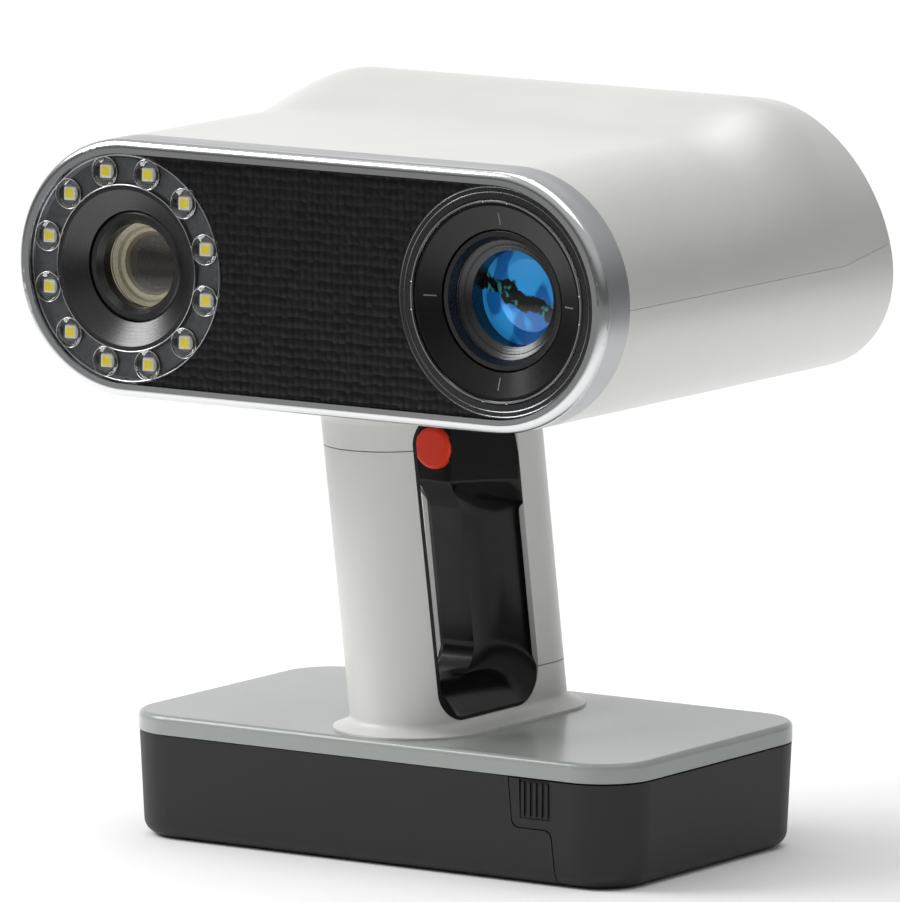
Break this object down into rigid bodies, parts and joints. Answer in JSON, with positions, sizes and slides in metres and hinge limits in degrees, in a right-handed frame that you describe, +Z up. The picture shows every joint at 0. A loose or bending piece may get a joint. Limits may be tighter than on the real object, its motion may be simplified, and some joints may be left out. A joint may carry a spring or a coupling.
{
  "type": "handheld structured light scanner",
  "caption": "Handheld 3-D scanner: wide round-ended head with a camera, a ring light and a projector, loop handle with a red trigger, and a base with a slide-out battery.",
  "frame": {"origin": "centre of the face it stands on, under the feet", "axes": "+Z up, -Y the way the lenses look, +X to the user's right, towards the projector"},
  "size_m": [0.216, 0.173, 0.2324],
  "materials": {
    "shell_paint": "satin silver-white paint on moulded plastic",
    "handle_plastic": "satin light grey moulded plastic",
    "bezel_metal": "brushed and bright-edged",
    "panel_black": "matt, fine scale texture",
    "grip_rubber": "semi-gloss black soft-touch",
    "clear_plastic": "moulded clear",
    "lens_glass": "coated optical glass",
    "black_metal": "black anodised",
    "chrome_trim": "polished",
    "led_white": "white solder mask",
    "led_yellow": "phosphor",
    "board_green": "solder mask",
    "raw_aluminium": "machined",
    "black_plastic": "fine spark texture",
    "screen_glass": "polished",
    "trigger_red": "satin red",
    "spring_steel": "drawn wire",
    "screw_steel": "zinc plated",
    "rubber": "moulded",
    "cell_sleeve": "shrink sleeve",
    "cable_black": "jacketed loom"
  },
  "bodies": {
    "scanner": {"front_bezel": "bezel_metal", "front_panel": "panel_black", "led_ring_lens": "clear_plastic", "led_chips": "led_yellow", "led_board": "led_white", "camera_hood": "panel_black", "camera_lens_barrel": "black_metal", "camera_front_lens": "lens_glass", "camera_iris": "black_metal", "camera_rear_lens": "lens_glass", "camera_board": "board_green", "camera_sensor": "black_plastic", "projector_shroud": "panel_black", "projector_trim_ring": "chrome_trim", "projector_cone": "panel_black", "projector_lens_barrel": "black_metal", "projector_front_lens": "lens_glass", "projector_middle_lens": "lens_glass", "projector_rear_lens": "lens_glass", "projector_light_engine": "black_metal", "projector_heat_sink": "raw_aluminium", "optical_bench": "raw_aluminium", "bench_screws": "screw_steel", "main_board": "board_green", "processor": "black_plastic", "processor_heat_sink": "raw_aluminium", "fan_frame": "black_plastic", "speaker": "black_plastic", "head_upper_shell": "shell_paint", "head_lower_shell": "shell_paint", "screen_frame": "black_plastic", "touch_glass": "screen_glass", "display_panel": "black_plastic", "power_switch": "black_plastic", "handle_lower_shell": "handle_plastic", "handle_upper_shell": "handle_plastic", "grip_insert": "grip_rubber", "handle_core_tube": "raw_aluminium", "cable_loom": "cable_black", "trigger_spring": "spring_steel", "trigger_switch": "black_plastic", "base_housing": "black_plastic", "rubber_feet": "rubber", "base_top_plate": "handle_plastic", "handle_foot_screws": "screw_steel", "base_screws": "screw_steel", "neck_screws": "screw_steel", "battery_socket": "black_plastic", "power_board": "board_green"},
    "trigger": {"trigger_button": "trigger_red"},
    "power_key": {"power_key": "bezel_metal"},
    "fan": {"fan_rotor": "black_plastic"},
    "battery": {"battery_end_cap": "black_plastic", "battery_case": "black_plastic", "battery_cells": "cell_sleeve", "latch_spring_front": "spring_steel", "latch_spring_rear": "spring_steel"},
    "latch_front": {"battery_latch_front": "black_plastic"},
    "latch_rear": {"battery_latch_rear": "black_plastic"}
  },
  "joints": [
    {"name": "trigger_press", "type": "slide", "parent": "scanner", "child": "trigger", "axis": [0, 1, 0], "range_m": [0, 0.002], "stiffness_N_per_m": 450, "springref_m": -0.002, "deforming": ["trigger_spring"]},
    {"name": "power_press", "type": "slide", "parent": "scanner", "child": "power_key", "axis": [0, -0.9659, -0.2588], "range_m": [0, 0.0008], "stiffness_N_per_m": 700, "springref_m": -0.0008},
    {"name": "fan_spin", "type": "hinge", "parent": "scanner", "child": "fan", "pos_m": [0, 0.0163, 0.1835], "axis": [0, 1, 0], "continuous": true},
    {"name": "battery_slide", "type": "slide", "parent": "scanner", "child": "battery", "axis": [1, 0, 0], "range_m": [0, 0.145]},
    {"name": "latch_front_press", "type": "slide", "parent": "battery", "child": "latch_front", "axis": [0, 1, 0], "range_m": [0, 0.0015], "stiffness_N_per_m": 500, "springref_m": -0.001, "deforming": ["latch_spring_front"]},
    {"name": "latch_rear_press", "type": "slide", "parent": "battery", "child": "latch_rear", "axis": [0, -1, 0], "range_m": [0, 0.0015], "stiffness_N_per_m": 500, "springref_m": -0.001, "deforming": ["latch_spring_rear"]}
  ]
}
